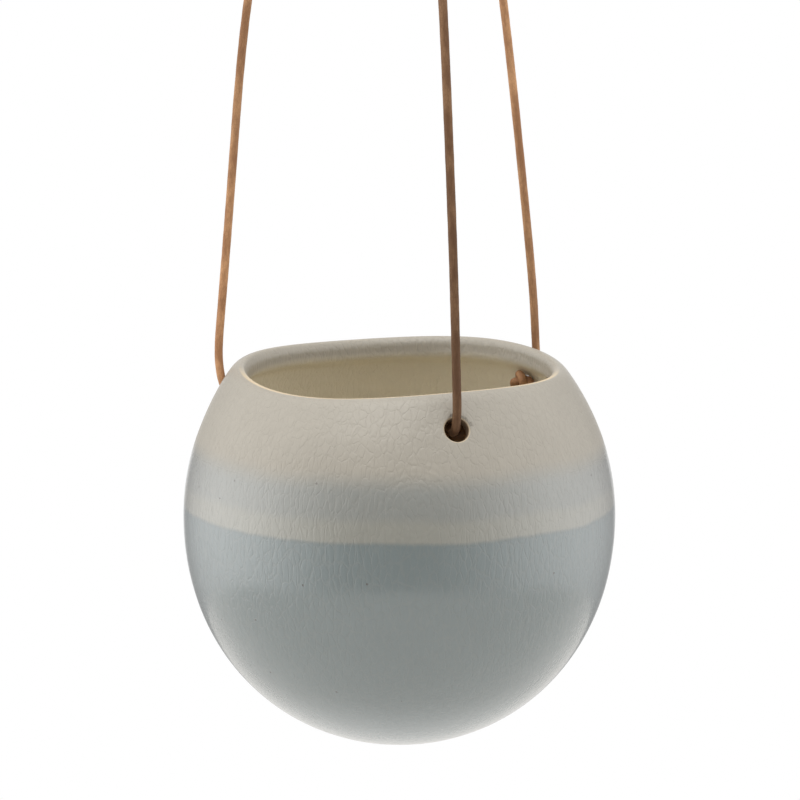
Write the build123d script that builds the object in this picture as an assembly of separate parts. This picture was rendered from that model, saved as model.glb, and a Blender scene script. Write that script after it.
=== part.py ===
from build123d import *
from math import atan2, cos, pi, radians, sin, sqrt, tan
import os

# A round ceramic planter that hangs on three leather cords. Millimetres, +Z up.
# The origin is the crown of the hanging loop, where the hook bears, and everything else is below it.
# Heights are counted from the pot's widest ring, its waist, and reaches from the pot's upright axis.
# Bearings are in degrees, turned from the front (-Y) towards the right (+X).

# Pot
POT_DIAMETER = 156.0
BASE_DIAMETER = 48.0            # the bowl's oval ends in this flat base
BASE_DEPTH = 79.3               # from the waist down to the flat base
BOWL_FULLNESS = 2.08            # 2 is an ellipse, more is squarer
SHOULDER_FULLNESS = 2.0
WALL = 4.5
FLOOR = 6.0

# Mouth and rolled lip
MOUTH_DIAMETER = 109.0
LIP_HEIGHT = 53.8               # from the waist up to the lip's crest
LIP_ROUND_HEIGHT = 3.6          # the shoulder starts to roll over this far below the crest
LIP_ROUND_REACH = 5.1           # and this far outside it
LIP_ROUND_WIDTH = 2.3           # from the crest in to the mouth's edge
LIP_EDGE_DROP = 2.4             # from the crest down to the mouth's edge
LIP_SKIRT = 5.4                 # the thick lip runs out into the wall this far under the mouth's edge

# Holes for the cords
HOLE_DIAMETER = 8.4
HOLE_DROP = 10.6                # from the lip's crest down to the hole's middle on the outside
HOLE_BEARINGS = {"left": -103.0, "front": 17.0, "back": 130.0}
HOLE_EDGE_ROUND = 0.8

# Leather cord and its knots
CORD_DIAMETER = 3.0
STOPPER_KNOT_DIAMETER = 9.5
STOPPER_SEAT_DEPTH = 4.0        # from the knot's middle to the face where the cord enters it
GATHER_KNOT_DIAMETER = 16.0
GATHER_KNOT_HEIGHT = 325.0
KNOT_CLEARANCE = 0.3            # between the gather knot and the cords that flex at it
LOOP_CROWN_HEIGHT = 365.0       # middle of the cord at the top of the hanging loop
LOOP_RADIUS = 11.0
LOOP_LEG_BOW = 0.35             # how far each leg of the loop bows out

# Routes of the cords, each in the upright plane of its hole: reach and height of each point,
# from the seat on the stopper knot inside the wall up to the gather knot.
CORD_ROUTES = {
    "left": [
        (61.2, 41.0), (63.8, 41.8), (65.6, 44.2), (67.2, 50.0), (67.7, 58.5), (66.0, 76.0), (63.0, 108.0),
        (57.4, 172.0), (50.8, 209.4), (40.9, 244.0), (28.4, 275.6), (15.7, 300.5), (4.5, 318.02),
    ],
    "front": [
        (61.2, 41.0), (63.8, 41.8), (65.7, 44.2), (66.8, 50.0), (66.0, 58.5), (64.5, 76.0), (61.2, 108.0),
        (52.6, 170.0), (45.6, 207.0), (36.4, 241.6), (25.4, 273.6), (14.1, 299.5), (4.1, 317.78),
    ],
    "back": [
        (61.2, 41.0), (63.8, 41.8), (65.7, 44.2), (67.0, 50.0), (66.4, 58.5), (65.1, 76.0), (60.8, 108.0),
        (51.6, 170.0), (44.7, 207.0), (35.6, 241.6), (24.8, 273.6), (13.8, 299.5), (4.0, 317.73),
    ],
}

# Worked out from the sizes above
POT_RADIUS = POT_DIAMETER / 2
CREST_REACH = MOUTH_DIAMETER / 2 + LIP_ROUND_WIDTH
ROLL_START = LIP_HEIGHT - LIP_ROUND_HEIGHT
EDGE_HEIGHT = LIP_HEIGHT - LIP_EDGE_DROP
HOLE_HEIGHT = LIP_HEIGHT - HOLE_DROP
CORD_RADIUS = CORD_DIAMETER / 2
WAIST_DROP = LOOP_CROWN_HEIGHT - CORD_RADIUS
DRILL_OVERRUN = 4.0             # the drill starts and ends this far from the wall
ARC_SHARE = 0.45                # each bend takes this share of the shorter of its two runs
CURVE_STEPS = 12


def place(bearing, reach, height):
    turn = radians(bearing)
    return Vector(reach * sin(turn), -reach * cos(turn), height - WAIST_DROP)


def closing_height(reach, height, fullness):
    """How far from the waist an oval through this point would close on the pot's axis."""
    return height / (1 - (reach / POT_RADIUS) ** fullness) ** (1 / fullness)


def wall_reach(height, depth_in_wall):
    """Reach of the pot's wall at a height, on its outside or some way into it."""
    if height > 0:
        fullness = SHOULDER_FULLNESS
        closing = closing_height(CREST_REACH + LIP_ROUND_REACH, ROLL_START, fullness)
    else:
        fullness = BOWL_FULLNESS
        closing = closing_height(BASE_DIAMETER / 2, BASE_DEPTH, fullness)
    share = abs(height) / (closing - depth_in_wall)
    return (POT_RADIUS - depth_in_wall) * (1 - share ** fullness) ** (1 / fullness)


def outer_reach(height):
    return wall_reach(height, 0)


def inner_reach(height):
    return wall_reach(height, WALL)


def slope(curve, height):
    step = 0.01
    return (curve(height + step) - curve(height - step), 2 * step)


def wall_curve(curve, low, high):
    heights = [low + (high - low) * i / CURVE_STEPS for i in range(CURVE_STEPS + 1)]
    points = [(curve(height), height) for height in heights]
    return Spline(*points, tangents=(slope(curve, low), slope(curve, high)))


def pot():
    skirt_end = EDGE_HEIGHT - LIP_SKIRT
    floor_height = FLOOR - BASE_DEPTH
    crest = (CREST_REACH, LIP_HEIGHT)
    edge = (MOUTH_DIAMETER / 2, EDGE_HEIGHT)
    upwards = slope(outer_reach, ROLL_START)
    downwards = (-slope(inner_reach, skirt_end)[0], -slope(inner_reach, skirt_end)[1])
    outline = Wire([
        Line((0, -BASE_DEPTH), (outer_reach(-BASE_DEPTH), -BASE_DEPTH)),
        wall_curve(outer_reach, -BASE_DEPTH, ROLL_START),
        Spline((outer_reach(ROLL_START), ROLL_START), crest, tangents=(upwards, (-1, 0))),
        Spline(crest, edge, tangents=((-1, 0), (0, -1))),
        Spline(edge, (inner_reach(skirt_end), skirt_end), tangents=((0, -1), downwards)),
        wall_curve(inner_reach, floor_height, skirt_end),
        Line((inner_reach(floor_height), floor_height), (0, floor_height)),
        Line((0, floor_height), (0, -BASE_DEPTH)),
    ])
    shell = revolve(Plane.XZ * Face(outline), axis=Axis.Z)
    body = Pos(0, 0, -WAIST_DROP) * shell
    for bearing in HOLE_BEARINGS.values():
        body = cut_hole(body, bearing)
    return body


def cut_hole(body, bearing):
    rise, run = slope(outer_reach, HOLE_HEIGHT)
    lean = atan2(-rise, run)
    turn = radians(bearing)
    outwards = Vector(cos(lean) * sin(turn), -cos(lean) * cos(turn), sin(lean))
    centre = place(bearing, outer_reach(HOLE_HEIGHT), HOLE_HEIGHT)
    return body - Plane(origin=centre, z_dir=outwards) * hole_cutter()


def hole_cutter():
    """A bore that rounds out at both faces of the wall. The outside of the wall is at height 0."""
    bore = HOLE_DIAMETER / 2
    rim = bore + HOLE_EDGE_ROUND
    top = -HOLE_EDGE_ROUND
    bottom = HOLE_EDGE_ROUND - WALL
    side = [
        CenterArc((rim, top), HOLE_EDGE_ROUND, 90, 90),
        Line((bore, top), (bore, bottom)),
        CenterArc((rim, bottom), HOLE_EDGE_ROUND, 180, 90),
    ]
    ends = Polyline((rim, -WALL), (rim, -WALL - DRILL_OVERRUN), (0, -WALL - DRILL_OVERRUN),
                    (0, DRILL_OVERRUN), (rim, DRILL_OVERRUN), (rim, 0))
    return revolve(Plane.XZ * Face(Wire(side + ends.edges())), axis=Axis.Z)


def tube(name, points):
    radii = []
    for before, corner, after in zip(points, points[1:], points[2:]):
        half_turn = (corner - before).get_angle(after - corner) / 2
        run = min((corner - before).length, (after - corner).length)
        radii.append(ARC_SHARE * run / tan(radians(half_turn)))
    path = FilletPolyline(*points, radius=radii)
    start = Plane(origin=path @ 0, z_dir=path % 0)
    solid = sweep(start * Circle(CORD_RADIUS), path=path)
    ideal = pi * CORD_RADIUS ** 2 * path.length
    print(f"{name}: length {path.length:.1f}, volume {solid.volume:.0f} of {ideal:.0f},",
          "arc radii", " ".join(f"{radius:.1f}" for radius in radii))
    return solid


def cord(side):
    bearing = HOLE_BEARINGS[side]
    return tube(f"cord_{side}", [place(bearing, reach, height) for reach, height in CORD_ROUTES[side]])


def stopper_knot(side):
    bearing = HOLE_BEARINGS[side]
    seat, next_point = [place(bearing, reach, height) for reach, height in CORD_ROUTES[side][:2]]
    along_cord = (next_point - seat).normalized()
    ball = Pos(seat - along_cord * STOPPER_SEAT_DEPTH) * Sphere(STOPPER_KNOT_DIAMETER / 2)
    beyond_seat = Box(*[STOPPER_KNOT_DIAMETER] * 3, align=(Align.CENTER, Align.CENTER, Align.MIN))
    return ball - Plane(origin=seat, z_dir=along_cord) * beyond_seat


def gather_knot():
    return Pos(place(0, 0, GATHER_KNOT_HEIGHT)) * Sphere(GATHER_KNOT_DIAMETER / 2)


def loop_points():
    """Half of the loop, from beside the gather knot up to the crown, is drawn and then mirrored."""
    knot_reach = GATHER_KNOT_DIAMETER / 2 + KNOT_CLEARANCE
    ring_height = LOOP_CROWN_HEIGHT - LOOP_RADIUS
    rise = ring_height - GATHER_KNOT_HEIGHT
    splay = atan2(LOOP_RADIUS, sqrt(rise ** 2 - LOOP_RADIUS ** 2))
    swept = pi / 2 + splay
    corner_reach = LOOP_RADIUS / cos(swept / 4)
    corners = [(corner_reach * sin(angle), ring_height + corner_reach * cos(angle))
               for angle in (swept * 3 / 4, swept / 4)]
    start = (knot_reach * sin(splay), GATHER_KNOT_HEIGHT + knot_reach * cos(splay))
    middle = ((start[0] + corners[0][0]) / 2 + LOOP_LEG_BOW, (start[1] + corners[0][1]) / 2)
    right = [start, middle] + corners
    left = [(-across, height) for across, height in reversed(right)]
    return [Vector(across, 0, height - WAIST_DROP) for across, height in right + left]


def write(node, solid):
    solid.label = node
    export_step(solid, f"parts/{node}.step")


os.makedirs("parts", exist_ok=True)
write("pot", pot())
write("gather_knot", gather_knot())
write("hanging_loop", tube("hanging_loop", loop_points()))
for side in HOLE_BEARINGS:
    write(f"cord_{side}", cord(side))
    write(f"stopper_knot_{side}", stopper_knot(side))
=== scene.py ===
"""A glazed round pot on three leather cords, with their stopper knots, gather knot and hanging loop."""

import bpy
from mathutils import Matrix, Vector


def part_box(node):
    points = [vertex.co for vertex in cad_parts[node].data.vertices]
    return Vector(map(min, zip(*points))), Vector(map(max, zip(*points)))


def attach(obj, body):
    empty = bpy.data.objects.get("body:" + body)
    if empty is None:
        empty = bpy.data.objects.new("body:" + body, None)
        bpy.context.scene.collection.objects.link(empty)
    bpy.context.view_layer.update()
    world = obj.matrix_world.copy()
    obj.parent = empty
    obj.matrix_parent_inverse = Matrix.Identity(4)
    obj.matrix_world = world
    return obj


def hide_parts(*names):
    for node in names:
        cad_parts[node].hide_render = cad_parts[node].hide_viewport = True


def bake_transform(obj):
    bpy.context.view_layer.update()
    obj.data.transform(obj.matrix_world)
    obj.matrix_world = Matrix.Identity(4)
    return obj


bl_info = {
    "name": "Hanging Planter",
    "version": (1, 0, 0),
    "blender": (4, 5, 0),
    "location": "View3D > Sidebar > Planter",
    "description": "A glazed round pot on three knotted leather cords",
    "category": "Add Mesh",
}

from math import asin, atan2, cos, pi, radians, sin, sqrt

import bpy
from bpy.props import FloatProperty, FloatVectorProperty, IntProperty, PointerProperty
from mathutils import Vector
from mathutils.geometry import interpolate_bezier

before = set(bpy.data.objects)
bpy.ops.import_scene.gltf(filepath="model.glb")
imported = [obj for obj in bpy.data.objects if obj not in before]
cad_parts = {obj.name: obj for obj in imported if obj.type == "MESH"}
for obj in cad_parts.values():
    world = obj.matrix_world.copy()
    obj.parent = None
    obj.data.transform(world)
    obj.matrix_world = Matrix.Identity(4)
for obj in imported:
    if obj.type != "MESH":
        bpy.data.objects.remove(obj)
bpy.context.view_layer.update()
POT_LOW, POT_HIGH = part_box("pot")
KNOT_LOW, KNOT_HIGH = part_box("gather_knot")
LOOP_LOW, LOOP_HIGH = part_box("hanging_loop")

# Heights are counted from the pot's widest ring, its waist, and reaches from the pot's upright axis.
# Bearings are turned from the front (-Y) towards the right (+X). Lengths are in metres.
MM = 0.001
LIP_ABOVE_WAIST = 53.8 * MM
WAIST = POT_HIGH.z - LIP_ABOVE_WAIST
GATHER_CENTRE = (KNOT_LOW + KNOT_HIGH) / 2
HOLE_BEARINGS = {"left": -103.0, "front": 17.0, "back": 130.0}
CORD_DIAMETER = 3.0 * MM
LOOP_CLEARANCE = 0.3 * MM       # between the gather knot and the loop's ends
LOOP_LEG_BOW = 0.35 * MM
CORD_SINK = 2.5 * MM            # the cords go on this far into the gather knot
LOOP_SINK = 2.0 * MM

# How each stopper knot lies at its hole: sideways and up in millimetres, and turned in degrees
STOPPER_PLACES = {"left": (0.0, 1.7, 0), "front": (1.0, 0.8, -30), "back": (-1.9, 1.7, 0)}
STOPPER_DEPTH = 2.7 * MM        # from the cord's first point into the pot
STOPPER_WIDE, STOPPER_DEEP = 2.6 * MM, 1.35 * MM

# Points of a stopper knot's tail: into the pot, aside and down in millimetres
STOPPER_TAIL = [(1.0, 3.4, 1.0), (2.4, 4.6, 5.0), (2.4, 4.6, 9.0)]

GATHER_WIDE, GATHER_DEEP = 3.7 * MM, 2.3 * MM
GATHER_STRANDS = 3
GATHER_STRAND_OFFSET = 1.75 * MM

# The tails of the gather knot: across, to the back and down in millimetres
GATHER_TAILS = [(6.5, -5.5, 15.0), (-4.0, -7.0, 12.5), (2.0, 7.5, 14.0)]

# Heights over the waist between which one glaze goes over into the next; the first pair is where painted
# light from below lightens the bowl
FOOT_PAINTED_LIGHT = (-50.0 * MM, -74.0 * MM)
STRIP_GLAZE = (5.2 * MM, 7.2 * MM)
BLUE_BAND_GLAZE = (11.5 * MM, 16.0 * MM)
CREAM_GLAZE = (22.0 * MM, 31.0 * MM)
INSIDE_GLAZE = (49.0 * MM, 45.0 * MM)

# Reach and height of each point of the cords, in millimetres, from the stopper knot up to the gather knot
CORD_ROUTES = {
    "left": [
        (61.2, 41.0), (63.8, 41.8), (65.6, 44.2), (67.2, 50.0), (67.7, 58.5), (66.0, 76.0), (63.0, 108.0),
        (57.4, 172.0), (50.8, 209.4), (40.9, 244.0), (28.4, 275.6), (15.7, 300.5), (4.5, 318.02),
    ],
    "front": [
        (61.2, 41.0), (63.8, 41.8), (65.7, 44.2), (66.8, 50.0), (66.0, 58.5), (64.5, 76.0), (61.2, 108.0),
        (52.6, 170.0), (45.6, 207.0), (36.4, 241.6), (25.4, 273.6), (14.1, 299.5), (4.1, 317.78),
    ],
    "back": [
        (61.2, 41.0), (63.8, 41.8), (65.7, 44.2), (67.0, 50.0), (66.4, 58.5), (65.1, 76.0), (60.8, 108.0),
        (51.6, 170.0), (44.7, 207.0), (35.6, 241.6), (24.8, 273.6), (13.8, 299.5), (4.0, 317.73),
    ],
}


def place(bearing, reach, height):
    """A point at this bearing in degrees, and this reach and height in metres."""
    turn = radians(bearing)
    return Vector((reach * sin(turn), -reach * cos(turn), WAIST + height))


def length_property(name, description, default):
    return FloatProperty(name=name, description=description, default=default, unit="LENGTH", precision=4)


def angle_property(name, description, degrees):
    return FloatProperty(name=name, description=description, default=radians(degrees), unit="ROTATION")


def colour_property(name, description, default):
    return FloatVectorProperty(name=name, description=description, default=default, subtype="COLOR",
                               size=3, min=0.0, max=1.0)


def share_property(name, description, default):
    return FloatProperty(name=name, description=description, default=default, min=0.0, max=1.0,
                         subtype="FACTOR")


class PotSizes(bpy.types.PropertyGroup):
    """Sizes of the pot."""

    base_reach: length_property("Base Reach", "From the axis to the edge of the flat base", 24.0 * MM)
    bowl_fullness: FloatProperty(name="Bowl Fullness", description="2 is an ellipse, more is squarer",
                                 default=2.08)
    wall: length_property("Wall", "Thickness of the wall", 4.5 * MM)
    floor: length_property("Floor", "Thickness of the floor", 6.0 * MM)
    mouth_reach: length_property("Mouth Reach", "From the axis to the mouth's edge", 54.5 * MM)
    lip_round_width: length_property("Lip Round Width", "From the crest in to the mouth's edge", 2.3 * MM)
    lip_round_reach: length_property("Lip Round Reach", "From the crest out to the shoulder", 5.1 * MM)
    lip_round_height: length_property("Lip Round Height", "From the crest down to the shoulder", 3.6 * MM)
    lip_edge_drop: length_property("Lip Edge Drop", "From the crest down to the mouth's edge", 5.0 * MM)
    lip_skirt: length_property("Lip Skirt", "From the mouth's edge down to the inside wall", 6.0 * MM)
    foot_round: length_property("Foot Round", "Rounding of the base's edge", 1.6 * MM)
    columns: IntProperty(name="Columns", description="Faces around the pot", default=256, min=32)
    rim_rise: length_property("Rim Rise", "How much higher the whole rim is than the plain shape", 0.9 * MM)
    rim_tilt: length_property("Rim Tilt", "How far one side of the rim is up", 2.1 * MM)
    rim_tilt_bearing: angle_property("Rim Tilt Bearing", "Where the rim is highest", 168.0)
    rim_bow: length_property("Rim Bow", "How far two sides of the rim are up", 0.3 * MM)
    rim_bow_bearing: angle_property("Rim Bow Bearing", "Where the rim bows up", 38.0)
    rim_ripple: length_property("Rim Ripple", "How far three places of the rim are up", 1.05 * MM)
    rim_ripple_bearing: angle_property("Rim Ripple Bearing", "Where the rim ripples up", 20.0)
    rim_depth: length_property("Rim Depth", "How far down the rim's waves fade out", 24.0 * MM)
    throwing_rings: length_property("Throwing Rings", "Height of the rings inside the pot", 0.12 * MM)
    unevenness: length_property("Unevenness", "How far the hand-made wall strays", 0.22 * MM)
    hole_reach: length_property("Hole Radius", "Radius of each hole for a cord", 4.2 * MM)
    hole_height: length_property("Hole Height", "Height of the holes over the waist", 43.2 * MM)
    hole_round: length_property("Hole Round", "Rounding of the holes' edges", 0.9 * MM)


class GlazeColours(bpy.types.PropertyGroup):
    """Colours of the glaze."""

    cream: colour_property("Cream", "Crackled glaze of the shoulder", (0.405, 0.372, 0.314))
    blue_band: colour_property("Blue Band", "Band under the shoulder", (0.285, 0.29, 0.268))
    beige_strip: colour_property("Beige Strip", "Strip above the bowl's glaze", (0.325, 0.32, 0.28))
    bowl: colour_property("Bowl", "Blue-grey glaze of the bowl", (0.205, 0.24, 0.239))
    # Bowl Foot: the bowl's glaze painted lighter towards the base, as painted light from below
    bowl_foot_painted_light: colour_property("Bowl Foot", "Glaze near the base", (0.29, 0.335, 0.345))
    # Inside: the inside glaze's own light tone, made lighter still as painted light falling in through the
    # mouth
    inside: colour_property("Inside", "Glaze inside the pot", (0.83, 0.76, 0.61))
    edge: colour_property("Edge", "Thin glaze on the edges of the lip and the holes", (0.86, 0.66, 0.38))
    # Bore: painted shade, the dark colour inside the holes where they lie in shadow
    bore: colour_property("Bore", "Thin, stained glaze inside the holes", (0.20, 0.13, 0.085))
    crack: colour_property("Crack", "Lines of the crackle", (0.33, 0.30, 0.25))
    clay: colour_property("Clay", "Bare clay of the base", (0.52, 0.40, 0.28))
    satin: share_property("Satin", "Roughness of the shoulder's glaze", 0.42)
    gloss: share_property("Gloss", "Roughness of the bowl's glaze", 0.2)


class CordLook(bpy.types.PropertyGroup):
    """Sizes and colours of the leather cords."""

    spacing: length_property("Spacing", "Distance between the rings of a strand", 0.9 * MM)
    unevenness: share_property("Unevenness", "How much a strand's thickness varies", 0.06)
    leather: colour_property("Leather", "Light face of the leather", (0.60, 0.335, 0.17))
    leather_dark: colour_property("Dark Leather", "Creases and worn faces", (0.31, 0.15, 0.072))
    # Front Shade: painted shade, the front cord made darker than the others
    front_cord_painted_shade: share_property("Front Shade", "Brightness of the front cord", 0.48)


class StageLook(bpy.types.PropertyGroup):
    """Camera, lamps and floor."""

    camera_height: length_property("Camera Target", "Height over the waist that it looks at", 42.1 * MM)
    camera_distance: length_property("Camera Distance", "From the camera to the pot's axis", 1.0)
    camera_rise: angle_property("Camera Rise", "How far the camera looks down", 10.0)
    lens: FloatProperty(name="Lens", description="Focal length in millimetres", default=125.1)
    lamp_width: length_property("Lamp Width", "Side of the square lamp overhead", 0.9)
    lamp_power: FloatProperty(name="Lamp Power", description="Watts of the lamp overhead", default=5.0)
    lamp_colour: colour_property("Lamp Colour", "Colour of the lamp overhead", (1.0, 0.985, 0.96))
    fill: share_property("Fill", "Brightness of the room in front of the pot", 0.15)
    side_light: FloatProperty(name="Side Light", description="Brightness of the tent's sides", default=1.55)
    top_light: FloatProperty(name="Top Light", description="Brightness of the tent's top", default=1.25)
    low_light: FloatProperty(name="Low Light", description="Brightness of the tent's lower half",
                             default=0.12)
    floor_drop: length_property("Floor Drop", "From the base down to the floor", 0.45)
    floor_reach: length_property("Floor Reach", "From the floor's middle to its edge", 1.2)
    floor: colour_property("Floor", "Colour of the floor", (0.78, 0.76, 0.73))


class Value:
    """A node's output. Arithmetic on it adds Math nodes to its tree."""

    def __init__(self, graph, socket):
        self.graph = graph
        self.socket = socket

    def __add__(self, other):
        return self.graph.math("ADD", self, other)

    def __sub__(self, other):
        return self.graph.math("SUBTRACT", self, other)

    def __rsub__(self, other):
        return self.graph.math("SUBTRACT", other, self)

    def __mul__(self, other):
        return self.graph.math("MULTIPLY", self, other)

    def __truediv__(self, other):
        return self.graph.math("DIVIDE", self, other)

    __radd__ = __add__
    __rmul__ = __mul__


class Graph:
    """Adds nodes to one tree, for a material, a modifier or the world."""

    def __init__(self, tree):
        self.tree = tree

    def node(self, kind, settings=None, inputs=None):
        """A new node, with its settings or its ramp's stops set first, and then its inputs."""
        node = self.tree.nodes.new(kind)
        for name, value in (settings or {}).items():
            if name == "stops":
                self.fill_ramp(node.color_ramp, value)
            else:
                setattr(node, name, value)
        for key, value in (inputs or {}).items():
            for one in value if isinstance(value, list) else [value]:
                if isinstance(one, Value):
                    self.tree.links.new(one.socket, node.inputs[key])
                else:
                    node.inputs[key].default_value = one
        return node

    def value(self, kind, settings=None, inputs=None, output=0):
        return Value(self, self.node(kind, settings, inputs).outputs[output])

    def fill_ramp(self, ramp, stops):
        for position, colour in stops[1:-1]:
            ramp.elements.new(position)
        for element, (position, colour) in zip(ramp.elements, stops):
            element.position = position
            element.color = (*colour, 1.0)

    def math(self, operation, *values):
        return self.value("ShaderNodeMath", {"operation": operation}, dict(enumerate(values)))

    def vector_math(self, operation, *values):
        output = 1 if operation in ("LENGTH", "DOT_PRODUCT", "DISTANCE") else 0
        return self.value("ShaderNodeVectorMath", {"operation": operation}, dict(enumerate(values)), output)

    def split(self, vector):
        node = self.node("ShaderNodeSeparateXYZ", None, {0: vector})
        return [Value(self, socket) for socket in node.outputs]

    def join(self, x, y, z):
        return self.value("ShaderNodeCombineXYZ", None, {0: x, 1: y, 2: z})

    def step(self, value, low, high, from_value=0.0, to_value=1.0):
        """Goes smoothly from one value to the other while the input goes from low to high."""
        return self.value("ShaderNodeMapRange", {"interpolation_type": "SMOOTHSTEP"},
                          {0: value, 1: low, 2: high, 3: from_value, 4: to_value})

    def noise(self, vector, scale, detail=2.0, roughness=0.5, output=0):
        inputs = {"Vector": vector, "Scale": scale, "Detail": detail, "Roughness": roughness}
        return self.value("ShaderNodeTexNoise", None, inputs, output)

    def mix(self, factor, first, second):
        """Mixes two colours."""
        first, second = [(*c, 1.0) if isinstance(c, tuple) else c for c in (first, second)]
        return self.value("ShaderNodeMix", {"data_type": "RGBA"}, {0: factor, 6: first, 7: second}, 2)

    def shade(self, colour, brightness):
        """Multiplies a colour by a number."""
        return self.value("ShaderNodeVectorMath", {"operation": "SCALE"}, {0: colour, 3: brightness})

    def interface(self, inputs):
        """Gives a modifier's tree its named inputs and its geometry output. Returns the inputs."""
        for name, (kind, default) in inputs.items():
            socket = self.tree.interface.new_socket(name, in_out="INPUT", socket_type=kind)
            if default is not None:
                socket.default_value = default
        self.tree.interface.new_socket("Geometry", in_out="OUTPUT", socket_type="NodeSocketGeometry")
        node = self.node("NodeGroupInput")
        return {name: Value(self, node.outputs[name]) for name in inputs}

    def finish(self, geometry):
        self.node("NodeGroupOutput", None, {0: geometry})


def bearing_of(graph, x, y):
    return graph.math("ARCTAN2", x, y * -1.0)


def rim_rise(graph, bearing, height, sizes):
    """How far the hand-made rim is up at a bearing. It fades out down the wall."""
    wave = sizes["Rim Rise"] + graph.math("COSINE", bearing - sizes["Rim Tilt Bearing"]) * sizes["Rim Tilt"]
    for times, name in ((2, "Rim Bow"), (3, "Rim Ripple")):
        turned = (bearing - sizes[f"{name} Bearing"]) * times
        wave = wave + graph.math("COSINE", turned) * sizes[name]
    return wave * graph.step(height, LIP_ABOVE_WAIST - sizes["Rim Depth"], LIP_ABOVE_WAIST)


def wall_place(graph, x, y, height, sizes):
    """1 in the middle of the wall, less inside it and more outside."""
    radius, closing, _ = oval(sizes, 1, sizes.wall / 2)
    across = graph.vector_math("LENGTH", graph.join(x, y, 0.0)) / radius
    up = height / closing
    return across * across + up * up


# Shapes worked out from the sizes

def oval(sizes, side, reach_less=0.0):
    """The wall's oval above or below the waist, some way into it: its reach, height and fullness."""
    radius = POT_HIGH.x
    if side > 0:
        fullness = 2.0
        reach = sizes.mouth_reach + sizes.lip_round_width + sizes.lip_round_reach
        height = LIP_ABOVE_WAIST - sizes.lip_round_height
    else:
        fullness = sizes.bowl_fullness
        reach = sizes.base_reach
        height = WAIST - POT_LOW.z
    closing = height / (1 - (reach / radius) ** fullness) ** (1 / fullness)
    return radius - reach_less, closing - reach_less, fullness


def oval_reach(shape, height):
    radius, closing, fullness = shape
    return radius * (1 - (abs(height) / closing) ** fullness) ** (1 / fullness)


def oval_points(shape, low, high, count):
    """Points of an oval from one height to another, evenly spread around it."""
    radius, closing, fullness = shape
    first, last = [asin(min(1.0, (abs(height) / closing) ** (fullness / 2))) for height in (low, high)]
    side = 1 if low + high > 0 else -1
    angles = [first + (last - first) * step / count for step in range(count + 1)]
    return [Vector((radius * cos(angle) ** (2 / fullness), 0, side * closing * sin(angle) ** (2 / fullness)))
            for angle in angles]


def bend_between(start, start_way, end, end_way, count):
    """A smooth bend from one point to another, without its two ends."""
    pull = (end - start).length * 0.38
    points = interpolate_bezier(start, start + start_way.normalized() * pull,
                                end - end_way.normalized() * pull, end, count + 2)
    return list(points)[1:-1]


def pot_outline(sizes):
    """The wall's outline from the middle of the base, up the outside, over the lip and down to the floor."""
    inwards, downwards, outwards = Vector((-1, 0, 0)), Vector((0, 0, -1)), Vector((1, 0, 0))
    base = POT_LOW.z - WAIST
    floor = base + sizes.floor
    crest = Vector((sizes.mouth_reach + sizes.lip_round_width, 0, LIP_ABOVE_WAIST))
    edge = Vector((sizes.mouth_reach, 0, LIP_ABOVE_WAIST - sizes.lip_edge_drop))
    bowl = oval_points(oval(sizes, -1), base + sizes.foot_round, 0.0, 70)
    shoulder = oval_points(oval(sizes, 1), 0.0, LIP_ABOVE_WAIST - sizes.lip_round_height, 44)
    inner_shoulder = oval_points(oval(sizes, 1, sizes.wall), edge.z - sizes.lip_skirt, 0.0, 34)
    inner_bowl = oval_points(oval(sizes, -1, sizes.wall), 0.0, floor + sizes.floor, 44)
    base_edge = Vector((sizes.base_reach - sizes.foot_round, 0, base))
    floor_edge = Vector((sizes.base_reach - sizes.foot_round, 0, floor))
    points = [Vector((base_edge.x * share, 0, base)) for share in (0.0, 0.3, 0.6, 0.85)]
    points += [base_edge] + bend_between(base_edge, outwards, bowl[0], bowl[1] - bowl[0], 5) + bowl
    points += shoulder[1:]
    points += bend_between(shoulder[-1], shoulder[-1] - shoulder[-2], crest, inwards, 9) + [crest]
    points += bend_between(crest, inwards, edge, downwards, 7) + [edge]
    points += bend_between(edge, downwards, inner_shoulder[0], inner_shoulder[1] - inner_shoulder[0], 8)
    points += inner_shoulder + inner_bowl[1:]
    points += bend_between(inner_bowl[-1], inner_bowl[-1] - inner_bowl[-2], floor_edge, inwards, 7)
    points += [Vector((floor_edge.x * share, 0, floor)) for share in (1.0, 0.75, 0.5, 0.25, 0.0)]
    return points


def hole_outline(sizes):
    """A bore that rounds out at both faces of the wall, from its axis inside the pot to its axis outside."""
    bore, rounding, wall = sizes.hole_reach, sizes.hole_round, sizes.wall
    flare = bore + rounding
    overrun = 5.0 * MM
    steps = [radians(angle) for angle in (90, 72, 54, 36, 18, 0)]
    lower = [(flare - rounding * cos(turn), rounding - wall - rounding * sin(turn)) for turn in steps]
    upper = [(flare - rounding * cos(turn), rounding * (sin(turn) - 1)) for turn in reversed(steps)]
    inner_end = [(0, -wall - overrun), (flare, -wall - overrun)]
    outer_end = [(flare, overrun), (0, overrun)]
    return [Vector((reach, 0, height)) for reach, height in inner_end + lower + upper + outer_end]


def hole_lean(sizes):
    """How far the wall leans back from upright at the holes."""
    shape = oval(sizes, 1)
    step = 0.1 * MM
    rise = oval_reach(shape, sizes.hole_height + step) - oval_reach(shape, sizes.hole_height - step)
    return atan2(-rise, 2 * step)


def hole_centre(sizes, bearing):
    return place(bearing, oval_reach(oval(sizes, 1), sizes.hole_height), sizes.hole_height)


def hole_way(sizes, bearing):
    """The way that a hole points, straight out of the wall."""
    lean, turn = hole_lean(sizes), radians(bearing)
    return Vector((cos(lean) * sin(turn), -cos(lean) * cos(turn), sin(lean)))


def cord_points(side):
    return [place(HOLE_BEARINGS[side], reach * MM, height * MM) for reach, height in CORD_ROUTES[side]]


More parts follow.
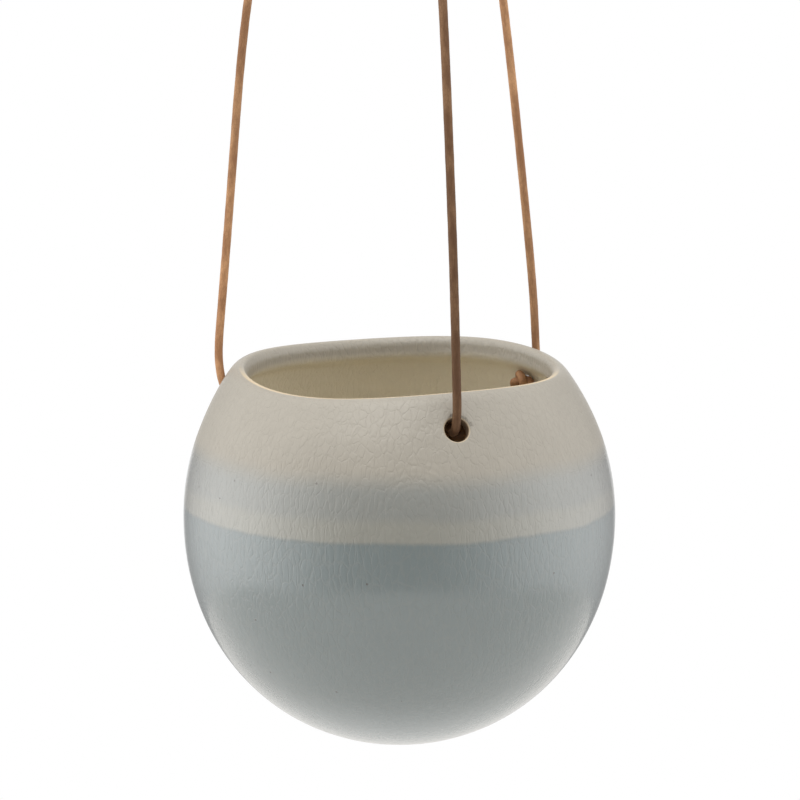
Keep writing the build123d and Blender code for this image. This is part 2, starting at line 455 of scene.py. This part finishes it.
def loop_points():
    """Half of the loop, from beside the gather knot up to the crown, is worked out and then mirrored."""
    ring = (LOOP_HIGH.x - LOOP_LOW.x) / 2 - CORD_DIAMETER / 2
    crown = LOOP_HIGH.z - CORD_DIAMETER / 2
    ring_height = crown - ring
    rise = ring_height - GATHER_CENTRE.z
    splay = atan2(ring, sqrt(rise ** 2 - ring ** 2))
    swept = pi / 2 + splay
    corner_reach = ring / cos(swept / 4)
    corners = [Vector((corner_reach * sin(angle), 0, ring_height + corner_reach * cos(angle)))
               for angle in (swept * 3 / 4, swept / 4)]
    knot_reach = (KNOT_HIGH.x - KNOT_LOW.x) / 2 + LOOP_CLEARANCE
    start = GATHER_CENTRE + Vector((sin(splay), 0, cos(splay))) * knot_reach
    middle = (start + corners[0]) / 2 + Vector((LOOP_LEG_BOW, 0, 0))
    right = [start, middle] + corners
    return right + [Vector((-point.x, point.y, point.z)) for point in reversed(right)]


def longer(points, extra):
    """The same route, which goes on straight at its last point."""
    way = (points[-1] - points[-2]).normalized()
    return points[:-1] + [points[-1] + way * extra]


# Objects and modifiers

def add_object(name, data):
    piece = bpy.data.objects.new(name, data)
    bpy.context.scene.collection.objects.link(piece)
    return piece


def outline_object(name, points):
    mesh = bpy.data.meshes.new(name)
    mesh.from_pydata(points, [(index, index + 1) for index in range(len(points) - 1)], [])
    return add_object(name, mesh)


def route_object(name, routes, closed=False):
    """A curve of one smooth spline for each route."""
    curve = bpy.data.curves.new(name, "CURVE")
    curve.dimensions = "3D"
    for points in routes:
        spline = curve.splines.new("NURBS")
        spline.points.add(len(points) - 1)
        for control, point in zip(spline.points, points):
            control.co = (*point, 1.0)
        spline.order_u = 3
        spline.use_endpoint_u = not closed
        spline.use_cyclic_u = closed
        spline.resolution_u = 12
    return add_object(name, curve)


def route_line(route):
    """The points that a route's smooth line follows."""
    bpy.context.view_layer.update()
    line = bpy.data.meshes.new_from_object(route.evaluated_get(bpy.context.evaluated_depsgraph_get()))
    points = [Vector(vertex.co) for vertex in line.vertices]
    bpy.data.meshes.remove(line)
    return points


def geometry_tree(name):
    return Graph(bpy.data.node_groups.new(name, "GeometryNodeTree"))


def grow(name, graph, inputs):
    """A piece made by a modifier's tree with these inputs, as a plain mesh."""
    seed = add_object(f"{name}_seed", bpy.data.meshes.new(f"{name}_seed"))
    modifier = seed.modifiers.new(name, "NODES")
    modifier.node_group = graph.tree
    for item in graph.tree.interface.items_tree:
        if item.in_out == "INPUT" and item.name in inputs:
            modifier[item.identifier] = inputs[item.name]
    bpy.context.view_layer.update()
    depsgraph = bpy.context.evaluated_depsgraph_get()
    mesh = bpy.data.meshes.new_from_object(seed.evaluated_get(depsgraph), preserve_all_data_layers=True,
                                           depsgraph=depsgraph)
    if len(mesh.polygons) == 0:
        raise RuntimeError(f"the tree of {name} makes no faces")
    mesh.name = name
    bpy.data.objects.remove(seed)
    return add_object(name, mesh)


def lathe(graph, outline, columns):
    """Turns an outline's points around the upright axis."""
    points = graph.value("GeometryNodeObjectInfo", None, {0: outline}, "Geometry")
    rows = graph.value("GeometryNodeAttributeDomainSize", {"component": "MESH"}, {0: points}, "Point Count")
    grid = graph.value("GeometryNodeMeshGrid", None,
                       {"Size X": 1.0, "Size Y": 1.0, "Vertices X": columns + 1, "Vertices Y": rows})
    index = graph.value("GeometryNodeInputIndex")
    row = graph.math("MODULO", index, rows)
    column = graph.math("FLOOR", (index + 0.5) / rows)
    place_on_outline = graph.value("GeometryNodeInputPosition")
    sample = graph.value("GeometryNodeSampleIndex", {"data_type": "FLOAT_VECTOR", "domain": "POINT"},
                         {"Geometry": points, "Value": place_on_outline, "Index": row})
    reach, _, height = graph.split(sample)
    turn = column / columns * (2 * pi)
    spot = graph.join(reach * graph.math("SINE", turn), reach * graph.math("COSINE", turn) * -1.0, height)
    turned = graph.value("GeometryNodeSetPosition", None, {"Geometry": grid, "Position": spot})
    return graph.value("GeometryNodeMergeByDistance", None, {"Geometry": turned, "Distance": 0.002 * MM})


def close_tree(graph, geometry, material):
    smooth = graph.value("GeometryNodeSetShadeSmooth", None, {"Geometry": geometry})
    whole = graph.value("GeometryNodeRealizeInstances", None, {0: smooth})
    graph.finish(graph.value("GeometryNodeSetMaterial", None, {"Geometry": whole, "Material": material}))


# The inputs that shape the rim's waves, and the sizes that they take
WAVE_INPUTS = {
    "Rim Depth": "rim_depth", "Rim Rise": "rim_rise", "Rim Tilt": "rim_tilt",
    "Rim Tilt Bearing": "rim_tilt_bearing",
    "Rim Bow": "rim_bow", "Rim Bow Bearing": "rim_bow_bearing",
    "Rim Ripple": "rim_ripple", "Rim Ripple Bearing": "rim_ripple_bearing",
}


def pot_tree(sizes):
    """Lathes the wall, sets its hand-made unevenness and cuts the holes for the cords."""
    graph = geometry_tree("Pot")
    inputs = {"Wall Outline": ("NodeSocketObject", None), "Hole Outline": ("NodeSocketObject", None),
              "Columns": ("NodeSocketInt", 256), "Waist": ("NodeSocketFloat", 0.0),
              "Unevenness": ("NodeSocketFloat", 0.0), "Throwing Rings": ("NodeSocketFloat", 0.0),
              "Glaze": ("NodeSocketMaterial", None)}
    inputs.update({name: ("NodeSocketFloat", 0.0) for name in WAVE_INPUTS})
    given = graph.interface(inputs)
    moved = uneven_wall(graph, lathe(graph, given["Wall Outline"], given["Columns"]), given, sizes)
    raised = graph.value("GeometryNodeTransform", None,
                         {"Geometry": moved, "Translation": graph.join(0.0, 0.0, given["Waist"])})
    cutter = lathe(graph, given["Hole Outline"], 64)
    cutters = [graph.value("GeometryNodeTransform", None,
                           {"Geometry": cutter, "Translation": hole_centre(sizes, degrees),
                            "Rotation": (pi / 2 - hole_lean(sizes), 0.0, radians(degrees))})
               for degrees in HOLE_BEARINGS.values()]
    drilled = graph.value("GeometryNodeMeshBoolean", {"operation": "DIFFERENCE", "solver": "MANIFOLD"},
                          {"Mesh 1": raised, "Mesh 2": cutters})
    close_tree(graph, drilled, given["Glaze"])
    return graph


def uneven_wall(graph, wall, given, sizes):
    """The lathed wall with a waved rim, soft lumps, and throwing rings on its inside."""
    base = POT_LOW.z - WAIST
    base_margin = 20.0 * MM
    ring_pitch = 4.2 * MM
    position = graph.value("GeometryNodeInputPosition")
    x, y, height = graph.split(position)
    bearing = bearing_of(graph, x, y)
    rise = rim_rise(graph, bearing, height, given)
    lumps = graph.noise(position, 24.0, 1.5) - 0.5
    away_from_base = graph.step(height, base, base + base_margin)
    swell = lumps * given["Unevenness"] * 2.0 * away_from_base
    inner = graph.math("LESS_THAN", wall_place(graph, x, y, height, sizes), 1.0)
    rings = graph.math("SINE", height * (2 * pi / ring_pitch) + bearing) * given["Throwing Rings"] * inner
    outward = graph.vector_math("NORMALIZE", graph.join(x, y, 0.0))
    sideways = graph.shade(outward, swell + rings * away_from_base)
    offset = graph.vector_math("ADD", sideways, graph.join(0.0, 0.0, rise))
    return graph.value("GeometryNodeSetPosition", None, {"Geometry": wall, "Offset": offset})


def strand_tree():
    """A round leather strand along each spline of a route."""
    graph = geometry_tree("Leather Strand")
    given = graph.interface({
        "Route": ("NodeSocketObject", None), "Radius": ("NodeSocketFloat", 1.5 * MM),
        "Spacing": ("NodeSocketFloat", 1.0 * MM), "Unevenness": ("NodeSocketFloat", 0.05),
        "Sides": ("NodeSocketInt", 20), "Leather": ("NodeSocketMaterial", None)})
    route = graph.value("GeometryNodeObjectInfo", None, {0: given["Route"]}, "Geometry")
    evened = graph.value("GeometryNodeResampleCurve", {"mode": "LENGTH"},
                         {"Curve": route, "Length": given["Spacing"]})
    length = graph.value("GeometryNodeSplineParameter", output="Length")
    evened = graph.value("GeometryNodeStoreNamedAttribute", {"data_type": "FLOAT", "domain": "POINT"},
                         {"Geometry": evened, "Name": "along", "Value": length})
    ring = graph.value("GeometryNodeCurvePrimitiveCircle", {"mode": "RADIUS"},
                       {"Resolution": given["Sides"], "Radius": given["Radius"]})
    spot = graph.value("GeometryNodeInputPosition")
    ring = graph.value("GeometryNodeStoreNamedAttribute", {"data_type": "FLOAT_VECTOR", "domain": "POINT"},
                       {"Geometry": ring, "Name": "round", "Value": graph.vector_math("NORMALIZE", spot)})
    strays = graph.noise(graph.value("GeometryNodeInputPosition"), 260.0, 2.0) - 0.5
    thickness = strays * given["Unevenness"] * 2.0 + 1.0
    tube = graph.value("GeometryNodeCurveToMesh", None,
                       {"Curve": evened, "Profile Curve": ring, "Scale": thickness, "Fill Caps": True})
    close_tree(graph, tube, given["Leather"])
    return graph


# Finishes

def new_material(name):
    material = bpy.data.materials.new(name)
    material.use_nodes = True
    material.node_tree.nodes.clear()
    return material, Graph(material.node_tree)


def close_material(graph, settings):
    surface = graph.value("ShaderNodeBsdfPrincipled", None, settings)
    graph.node("ShaderNodeOutputMaterial", None, {"Surface": surface})


def glaze_bands(graph, here, height, drift, colours):
    """Each glaze over the one below it, with uneven edges, on a bowl painted lighter towards the base as
    painted light from below. Also the cream's share and the strip's height.
    """
    ragged = graph.noise(here, 160.0, 3.0) - 0.5
    band_height = height + drift * (5.0 * MM) + ragged * (1.0 * MM)
    line_height = height + drift * (4.0 * MM) + ragged * (0.9 * MM)
    to_cream = graph.step(band_height, *CREAM_GLAZE)
    # Painted light from below: the bowl's glaze lighter towards the base
    colour = graph.mix(graph.step(height, *FOOT_PAINTED_LIGHT), tuple(colours.bowl), tuple(colours.bowl_foot_painted_light))
    colour = graph.mix(graph.step(line_height, *STRIP_GLAZE), colour, tuple(colours.beige_strip))
    colour = graph.mix(graph.step(band_height, *BLUE_BAND_GLAZE), colour, tuple(colours.blue_band))
    return graph.mix(to_cream, colour, tuple(colours.cream)), to_cream, line_height


def glaze_crackle(graph, here, height):
    """Cracks around tall cells, and fine upright wrinkles. Both are fainter over the bowl."""
    cell_size = 2.2 * MM
    stray = 1.6 * MM
    strength = graph.step(height, -50.0 * MM, 12.0 * MM, 0.8, 1.0)
    tall = graph.vector_math("MULTIPLY", here, (1.0, 1.0, 0.38))
    wander = graph.vector_math("SUBTRACT", graph.noise(tall, 420.0, 2.0, output=1), (0.5,) * 3)
    bent = graph.vector_math("ADD", tall, graph.shade(wander, stray))
    edges = graph.value("ShaderNodeTexVoronoi", {"feature": "DISTANCE_TO_EDGE"},
                        {"Vector": bent, "Scale": 1 / cell_size})
    cracks = graph.step(edges, 0.13, 0.0) * strength
    wrinkles = graph.noise(graph.vector_math("MULTIPLY", bent, (1.0, 1.0, 0.7)), 560.0, 2.0) - 0.5
    return cracks, wrinkles * strength


def glaze_arcs(graph, here, drift):
    """Faint rings around one spot on the front of the shoulder."""
    spot = place(4.0, 74.0 * MM, 18.0 * MM)
    pitch = 2.1 * MM
    distance = graph.vector_math("LENGTH", graph.vector_math("SUBTRACT", here, spot))
    rings = graph.math("SINE", distance * (2 * pi / pitch) + drift * 9.0)
    return rings * graph.step(distance, 24.0 * MM, 8.0 * MM) * graph.step(distance, 3.0 * MM, 8.0 * MM)


def glazed_hole_with_painted_shade(graph, here, colour, degrees, sizes, colours):
    """The colour with thin glaze on the edge of one hole, and painted shade inside it."""
    way = hole_way(sizes, degrees)
    reach = sizes.hole_reach
    from_hole = graph.vector_math("SUBTRACT", here, hole_centre(sizes, degrees))
    along = graph.vector_math("DOT_PRODUCT", from_hole, way)
    aside = graph.vector_math("SUBTRACT", from_hole, graph.shade(way, along))
    distance = graph.vector_math("LENGTH", aside)
    in_wall = graph.step(along, -8.0 * MM, -7.0 * MM)
    edge = graph.step(distance, reach + 0.7 * MM, reach + 0.3 * MM) * in_wall
    # Painted shade: the bore is darkened where the hole lies in shadow
    bore = graph.step(distance, reach + 0.25 * MM, reach + 0.05 * MM) * in_wall
    colour = graph.mix(edge * 0.45, colour, tuple(colours.edge))
    return graph.mix(bore * 0.9, colour, tuple(colours.bore))


def glaze_material(sizes, colours):
    """Crackled glaze in bands outside, painted lighter near the base; plain glaze inside, with painted light;
    thin glaze on the edges, with a painted highlight on the lip's front; painted shade in the holes; bare
    clay below.
    """
    material, graph = new_material("Glaze")
    base = POT_LOW.z - WAIST
    pinhole_spacing = 9.0 * MM
    pinhole_colour = (0.12, 0.10, 0.08)
    relief_height = 0.28 * MM
    here = graph.value("ShaderNodeTexCoord", output="Object")
    x, y, z = graph.split(here)
    height = z - WAIST
    drift = graph.noise(here, 18.0, 2.0) - 0.5
    wave_sizes = {name: getattr(sizes, attribute) for name, attribute in WAVE_INPUTS.items()}
    level = height - rim_rise(graph, bearing_of(graph, x, y), height, wave_sizes)
    depth = wall_place(graph, x, y, level, sizes)
    inside = graph.step(depth, 0.992, 0.955)

    colour, to_cream, line_height = glaze_bands(graph, here, height, drift, colours)
    cracks, wrinkles = glaze_crackle(graph, here, height)
    streaks = graph.noise(graph.vector_math("MULTIPLY", here, (1.0, 1.0, 0.08)), 620.0, 3.0, 0.6) - 0.5
    cloud = graph.noise(here, 60.0, 4.0, 0.6) - 0.5
    speck = graph.value("ShaderNodeTexVoronoi", {"feature": "F1"},
                        {"Vector": here, "Scale": 1 / pinhole_spacing})
    pinhole = graph.step(speck, 0.045, 0.03) * (1.0 - to_cream)
    colour = graph.mix(cracks * 0.10, colour, tuple(colours.crack))
    colour = graph.shade(colour, 1.0 + streaks * 0.07 + cloud * 0.10)

    # Inside the pot, on the edges of the lip and the holes, and on the bare base
    below_lip = graph.step(level + drift * (3.0 * MM), *INSIDE_GLAZE)
    # Painted light: the inside colour is the glaze's own light tone, raised further to stand in for light
    # falling in through the mouth
    colour = graph.mix(inside * below_lip, colour, tuple(colours.inside))
    lip_line = graph.step(depth, 1.030, 1.018) * graph.step(depth, 0.975, 0.985) * (1.0 - below_lip)
    # Thin glaze on the lip's inner edge all round, with a painted highlight that makes it much stronger along
    # the front
    front_painted_highlight = graph.step(y, 0.0, -24.0 * MM)
    colour = graph.mix(lip_line * (front_painted_highlight * 0.62 + 0.03), colour, tuple(colours.edge))
    for degrees in HOLE_BEARINGS.values():
        colour = glazed_hole_with_painted_shade(graph, here, colour, degrees, sizes, colours)
    under = graph.step(height, base + 0.7 * MM, base + 0.2 * MM) * (1.0 - inside)
    colour = graph.mix(under, colour, tuple(colours.clay))
    colour = graph.mix(pinhole * 0.7, colour, pinhole_colour)

    satin = graph.math("MAXIMUM", to_cream, inside)
    roughness = satin * (colours.satin - colours.gloss) + colours.gloss + under * 0.4 + streaks * 0.05
    strip_step = graph.step(line_height, 5.2 * MM, 6.8 * MM) * 0.6
    relief = cloud * 0.25 + wrinkles * 0.9 + glaze_arcs(graph, here, drift) * 0.10 - cracks * 0.26 - pinhole
    bump = graph.value("ShaderNodeBump", None,
                       {"Strength": 1.0, "Distance": relief_height, "Height": relief + strip_step})
    close_material(graph, {"Base Color": colour, "Roughness": roughness, "Normal": bump, "IOR": 1.5,
                           "Coat Weight": 1.0 - satin * 0.85, "Coat Roughness": 0.16, "Coat IOR": 1.62})
    return material


def leather_material(name, look, brightness, foot_painted_light_and_shade):
    """Round leather cord with dark creases and a worn lighter face; its brightness, and that of its end near
    the pot, are painted light and shade.
    """
    material, graph = new_material(name)
    ring = graph.value("ShaderNodeAttribute", {"attribute_name": "round"}, output="Vector")
    along = graph.value("ShaderNodeAttribute", {"attribute_name": "along"}, output="Fac")
    across_x, across_y, _ = graph.split(ring)
    rounded = CORD_DIAMETER / 2
    grain = graph.join(across_x * rounded, across_y * rounded, along)
    fibres = graph.noise(graph.vector_math("MULTIPLY", grain, (1.0, 1.0, 0.16)), 1900.0, 3.0, 0.6)
    patches = graph.noise(graph.vector_math("MULTIPLY", grain, (1.0, 1.0, 0.35)), 210.0, 3.0, 0.6)
    creases = graph.value("ShaderNodeTexVoronoi", {"feature": "DISTANCE_TO_EDGE"},
                          {"Vector": graph.vector_math("MULTIPLY", grain, (1.0, 1.0, 0.5)), "Scale": 1100.0})
    crease = graph.step(creases, 0.12, 0.0)
    worn = graph.step(patches, 0.38, 0.66)
    # brightness: painted light and shade of the whole cord
    light, dark = [tuple(shade * brightness for shade in colour)
                   for colour in (look.leather, look.leather_dark)]
    colour = graph.mix(worn * 0.75 + fibres * 0.25, dark, light)
    colour = graph.mix(crease * 0.35, colour, dark)
    # Painted light and shade near the pot and on the knots: the back knot darker inside the pot, the left
    # cord's end lighter
    colour = graph.shade(colour, graph.step(along, 20.0 * MM, 130.0 * MM, foot_painted_light_and_shade, 1.0))
    relief = fibres * 0.6 - crease * 0.5 + patches * 0.8
    bump = graph.value("ShaderNodeBump", None, {"Strength": 0.6, "Distance": 0.15 * MM, "Height": relief})
    close_material(graph, {"Base Color": colour, "Roughness": 0.78 - fibres * 0.2, "Normal": bump,
                           "Specular IOR Level": 0.25})
    return material


# Knots

def trefoil(centre, ways, wide, deep, count=72):
    """Points of a closed trefoil around a centre. The first two ways span its face, the third is its axis."""
    first, second, axis = ways
    points = []
    for step in range(count):
        turn = 2 * pi * step / count
        reach = wide + deep * cos(3 * turn)
        points.append(centre + first * (reach * cos(2 * turn)) + second * (reach * sin(2 * turn))
                      + axis * (deep * sin(3 * turn)))
    return points


def bundle(centre_line, count, offset, turns):
    """Routes of several strands that lie around one closed line and twist along it."""
    routes = [[] for _ in range(count)]
    total = len(centre_line)
    for step, point in enumerate(centre_line):
        forward = (centre_line[(step + 1) % total] - centre_line[step - 1]).normalized()
        outward = point - GATHER_CENTRE
        side = (outward - forward * outward.dot(forward)).normalized()
        other = forward.cross(side)
        for strand, route in enumerate(routes):
            turn = 2 * pi * (strand / count + turns * step / total)
            route.append(point + side * (offset * cos(turn)) + other * (offset * sin(turn)))
    return routes


def strand_piece(name, routes, leather, look, closed=False, spacing=None):
    """A leather piece with a strand along each route."""
    route = route_object(f"{name}_route", routes, closed)
    inputs = {"Route": route, "Radius": CORD_DIAMETER / 2, "Spacing": spacing or look.spacing,
              "Unevenness": look.unevenness, "Leather": leather}
    piece = grow(name, strand_tree(), inputs)
    line = route_line(route)
    bpy.data.objects.remove(route)
    return piece, line


def joined(name, parts):
    """One piece from several, with their attributes kept."""
    with bpy.context.temp_override(active_object=parts[0], selected_editable_objects=parts):
        bpy.ops.object.join()
    parts[0].name = name
    return parts[0]


def leather_for(look, side):
    """The leather of a cord and its stopper knot, made once, with the painted light and shade of the whole
    cord and of its end near the pot.
    """
    # Painted light and shade: each cord's brightness, then that of its end near the pot and its knots, as
    # light falls there
    shade, foot_painted_light_and_shade = {"left": (0.92, 1.35), "front": (look.front_cord_painted_shade, 0.70), "back": (1.12, 0.78)}[side]
    name = f"Leather {side.title()}"
    return bpy.data.materials.get(name) or leather_material(name, look, shade, foot_painted_light_and_shade)


# Operators

class PLANTER_OT_pot(bpy.types.Operator):
    """Add the glazed pot"""

    bl_idname = "planter.pot"
    bl_label = "Glazed Pot"

    def execute(self, context):
        sizes, colours = context.scene.planter_pot, context.scene.planter_glaze
        wall = outline_object("wall_outline", pot_outline(sizes))
        hole = outline_object("hole_outline", hole_outline(sizes))
        inputs = {"Wall Outline": wall, "Hole Outline": hole, "Columns": sizes.columns, "Waist": WAIST,
                  "Rim Depth": sizes.rim_depth, "Unevenness": sizes.unevenness,
                  "Throwing Rings": sizes.throwing_rings, "Glaze": glaze_material(sizes, colours)}
        inputs.update({name: getattr(sizes, attribute) for name, attribute in WAVE_INPUTS.items()})
        pot = grow("glazed_pot", pot_tree(sizes), inputs)
        bpy.data.objects.remove(wall)
        bpy.data.objects.remove(hole)
        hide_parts("pot")
        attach(pot, "planter")
        return {"FINISHED"}


class PLANTER_OT_cords(bpy.types.Operator):
    """Add the three leather cords, once their stopper knots are there"""

    bl_idname = "planter.cords"
    bl_label = "Leather Cords"

    def execute(self, context):
        look = context.scene.planter_cords
        for side in HOLE_BEARINGS:
            points = cord_points(side)
            leather = leather_for(look, side)
            cord, line = strand_piece(f"leather_cord_{side}", [longer(points, CORD_SINK)], leather, look)
            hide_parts(f"cord_{side}")
            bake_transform(cord)
        return {"FINISHED"}


class PLANTER_OT_stopper_knots(bpy.types.Operator):
    """Add the knot that holds each cord inside the wall, with its short tail"""

    bl_idname = "planter.stopper_knots"
    bl_label = "Stopper Knots"

    def execute(self, context):
        look = context.scene.planter_cords
        for side, bearing in HOLE_BEARINGS.items():
            seat, after = cord_points(side)[:2]
            along = (after - seat).normalized()
            sideways = Vector((cos(radians(bearing)), sin(radians(bearing)), 0))
            upwards = along.cross(sideways)
            shift, rise, degrees = STOPPER_PLACES[side]
            centre = seat - along * STOPPER_DEPTH + upwards * (rise * MM) + sideways * (shift * MM)
            turned = radians(degrees)
            leather = leather_for(look, side)
            ways = (upwards * cos(turned) + sideways * sin(turned),
                    sideways * cos(turned) - upwards * sin(turned), along)
            loops = trefoil(centre, ways, STOPPER_WIDE, STOPPER_DEEP)
            knot, _ = strand_piece(f"knot_{side}", [loops], leather, look, True, 0.45 * MM)
            aside = sideways * (-1 if side == "back" else 1)
            tail = [centre] + [centre - along * (inwards * MM) + aside * (across * MM) - upwards * (drop * MM)
                               for inwards, across, drop in STOPPER_TAIL]
            end, _ = strand_piece(f"tail_{side}", [tail], leather, look)
            piece = joined(f"tied_stopper_{side}", [knot, end])
            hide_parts(f"stopper_knot_{side}")
            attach(piece, "planter")
        return {"FINISHED"}


class PLANTER_OT_gather_knot(bpy.types.Operator):
    """Add the knot that gathers the three cords under the hanging loop"""

    bl_idname = "planter.gather_knot"
    bl_label = "Gather Knot"

    def execute(self, context):
        look = context.scene.planter_cords
        ways = [Vector((1, 0, 0)), Vector((0, 0, 1)), Vector((0, -1, 0))]
        line = trefoil(GATHER_CENTRE, ways, GATHER_WIDE, GATHER_DEEP, 96)
        leather = leather_for(look, "left")
        strands = bundle(line, GATHER_STRANDS, GATHER_STRAND_OFFSET, 2)
        knot, _ = strand_piece("knot_gather", strands, leather, look, True, 0.6 * MM)
        parts = [knot]
        for number, (across, back, drop) in enumerate(GATHER_TAILS):
            top, bend, tip = [GATHER_CENTRE + Vector(spot) * MM for spot in (
                (across * 0.3, back * 0.35, -2.0), (across * 0.95, back, -5.0),
                (across * 1.2, back * 1.15, -drop))]
            route = [top, bend, (bend + tip) / 2, tip]
            tail, _ = strand_piece(f"tail_gather_{number}", [route], leather, look)
            parts.append(tail)
        piece = joined("tied_gather_knot", parts)
        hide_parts("gather_knot")
        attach(piece, "gather")
        return {"FINISHED"}


class PLANTER_OT_hanging_loop(bpy.types.Operator):
    """Add the leather loop that goes over the hook"""

    bl_idname = "planter.hanging_loop"
    bl_label = "Hanging Loop"

    def execute(self, context):
        look = context.scene.planter_cords
        points = loop_points()
        one_end = longer(points, LOOP_SINK)
        both_ends = longer(one_end[::-1], LOOP_SINK)[::-1]
        loop, line = strand_piece("leather_loop", [both_ends], leather_for(look, "left"), look)
        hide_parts("hanging_loop")
        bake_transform(loop)
        return {"FINISHED"}


# Stage

def add_lamp(name, spot, aim, width, power, colour):
    lamp = bpy.data.lights.new(name, "AREA")
    lamp.shape = "RECTANGLE"
    lamp.size = width
    lamp.size_y = width
    lamp.energy = power
    lamp.color = colour
    lit = add_object(name, lamp)
    lit.location = spot
    lit.rotation_euler = (aim - spot).to_track_quat("-Z", "Y").to_euler()


def plain_behind(graph):
    """1 where a ray comes straight from the camera, and 1 where it comes by a reflection or a clear part."""
    light_path = graph.node("ShaderNodeLightPath")
    straight = Value(graph, light_path.outputs["Is Camera Ray"])
    glossy = Value(graph, light_path.outputs["Is Glossy Ray"])
    through = Value(graph, light_path.outputs["Is Transmission Ray"])
    return straight, graph.math("MAXIMUM", glossy, through)


class PLANTER_OT_stage(bpy.types.Operator):
    """Add the floor, the light and the camera"""

    bl_idname = "planter.stage"
    bl_label = "Stage"

    def execute(self, context):
        stage = context.scene.planter_stage
        scene = context.scene
        scene.view_settings.view_transform = "Standard"
        self.add_floor(stage)
        self.light_room(scene, stage)
        middle = Vector((0.25 * MM, 0, WAIST + stage.camera_height))
        overhead = Vector((-0.2, -0.45, WAIST + 1.2))
        add_lamp("top_lamp", overhead, middle, stage.lamp_width, stage.lamp_power, stage.lamp_colour)
        camera = bpy.data.cameras.new("camera")
        camera.sensor_width = 36.0
        camera.lens = stage.lens
        seen_from = add_object("camera", camera)
        rise = stage.camera_rise
        seen_from.location = middle + Vector((0, -cos(rise), sin(rise))) * stage.camera_distance
        seen_from.rotation_euler = (pi / 2 - rise, 0, 0)
        scene.camera = seen_from
        return {"FINISHED"}

    def add_floor(self, stage):
        sides = 96
        fade_from, fade_to = 0.45, 0.95
        height = POT_LOW.z - stage.floor_drop
        turns = [2 * pi * step / sides for step in range(sides)]
        ring = [(stage.floor_reach * cos(turn), stage.floor_reach * sin(turn), height) for turn in turns]
        mesh = bpy.data.meshes.new("floor")
        mesh.from_pydata(ring, [], [list(range(sides))])
        floor = add_object("floor", mesh)
        material, graph = new_material("Floor")
        here = graph.value("ShaderNodeTexCoord", output="Object")
        patches = graph.noise(here, 3.0, 3.0)
        colour = graph.mix(patches * 0.1, tuple(stage.floor), (1.0, 1.0, 1.0))
        matt = graph.value("ShaderNodeBsdfPrincipled", None, {"Base Color": colour, "Roughness": 0.85})
        x, y, _ = graph.split(here)
        away = graph.step(graph.vector_math("LENGTH", graph.join(x, y, 0.0)), fade_from, fade_to)
        straight, _ = plain_behind(graph)
        white = graph.value("ShaderNodeEmission", None, {"Color": (1.0, 1.0, 1.0, 1.0), "Strength": 1.0})
        surface = graph.value("ShaderNodeMixShader", None, {0: away * straight, 1: matt, 2: white})
        graph.node("ShaderNodeOutputMaterial", None, {"Surface": surface})
        mesh.materials.append(material)

    def light_room(self, scene, stage):
        """A soft tent of light: bright at both sides and overhead, and dim in front of the pot."""
        world = bpy.data.worlds.new("Room")
        world.use_nodes = True
        world.node_tree.nodes.clear()
        graph = Graph(world.node_tree)
        x, y, z = graph.split(graph.value("ShaderNodeTexCoord", output="Generated"))
        brighter_left = 1.0 - x * 0.12
        side = graph.math("POWER", graph.math("ABSOLUTE", x), 3.0) * brighter_left
        overhead = graph.math("MAXIMUM", z, 0.0)
        below = graph.step(z, 0.05, -0.25)
        light = stage.fill + side * stage.side_light + overhead * overhead * stage.top_light
        light = light + below * stage.low_light
        straight, reflected = plain_behind(graph)
        behind = graph.step(y, 0.88, 0.99)
        light = graph.math("MAXIMUM", light, reflected * behind)
        strength = light * (1.0 - straight) + straight
        background = graph.value("ShaderNodeBackground", None,
                                 {"Color": (1.0, 1.0, 1.0, 1.0), "Strength": strength})
        graph.node("ShaderNodeOutputWorld", None, {"Surface": background})
        scene.world = world


class PLANTER_PT_panel(bpy.types.Panel):
    """Lists the pieces of the planter and their sizes"""

    bl_idname = "PLANTER_PT_panel"
    bl_label = "Planter"
    bl_space_type = "VIEW_3D"
    bl_region_type = "UI"
    bl_category = "Planter"

    def draw(self, context):
        for operator in OPERATORS:
            self.layout.operator(operator.bl_idname)
        for name, group in PROPERTY_GROUPS.items():
            box = self.layout.box()
            box.label(text=group.__doc__)
            settings = getattr(context.scene, name)
            for size in group.__annotations__:
                box.prop(settings, size)


PROPERTY_GROUPS = {"planter_pot": PotSizes, "planter_glaze": GlazeColours, "planter_cords": CordLook,
                   "planter_stage": StageLook}
OPERATORS = [PLANTER_OT_pot, PLANTER_OT_stopper_knots, PLANTER_OT_cords, PLANTER_OT_gather_knot,
             PLANTER_OT_hanging_loop, PLANTER_OT_stage]


def register():
    for group in PROPERTY_GROUPS.values():
        bpy.utils.register_class(group)
    for operator in OPERATORS + [PLANTER_PT_panel]:
        bpy.utils.register_class(operator)
    for name, group in PROPERTY_GROUPS.items():
        setattr(bpy.types.Scene, name, PointerProperty(type=group))


def unregister():
    for name in PROPERTY_GROUPS:
        delattr(bpy.types.Scene, name)
    for cls in [PLANTER_PT_panel] + OPERATORS + list(PROPERTY_GROUPS.values()):
        bpy.utils.unregister_class(cls)


def main():
    register()
    bpy.ops.planter.pot()
    bpy.ops.planter.stopper_knots()
    bpy.ops.planter.cords()
    bpy.ops.planter.gather_knot()
    bpy.ops.planter.hanging_loop()
    bpy.ops.planter.stage()


if __name__ == "__main__":
    main()
